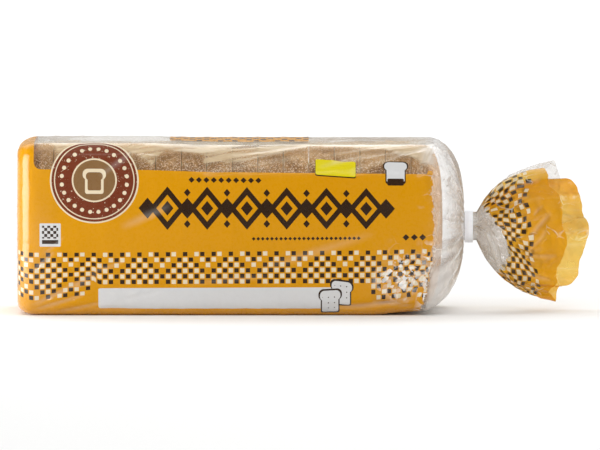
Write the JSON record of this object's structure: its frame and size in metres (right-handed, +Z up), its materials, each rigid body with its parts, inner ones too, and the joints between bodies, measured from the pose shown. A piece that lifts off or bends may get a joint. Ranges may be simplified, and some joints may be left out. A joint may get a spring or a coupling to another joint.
{
  "type": "sliced loaf in a film bag",
  "caption": "Long sliced loaf standing in a printed clear film bag, one end folded flat and the other gathered to a neck by a flat tie, with a flared ruffled tail.",
  "frame": {"origin": "middle of the bounding box's footprint, on the surface that the loaf stands on", "axes": "+X along the loaf, from the closed end towards the flared tail; -Y is the front that the picture shows; +Z up"},
  "size_m": [0.3214, 0.108, 0.0975],
  "materials": {
    "film": "clear printed polythene film, glossy and crinkled",
    "tie": "satin",
    "bread": "matte, floury crust and open crumb"
  },
  "bodies": {
    "root": {"bag": "film", "twist_tie": "tie"}
  },
  "joints": []
}
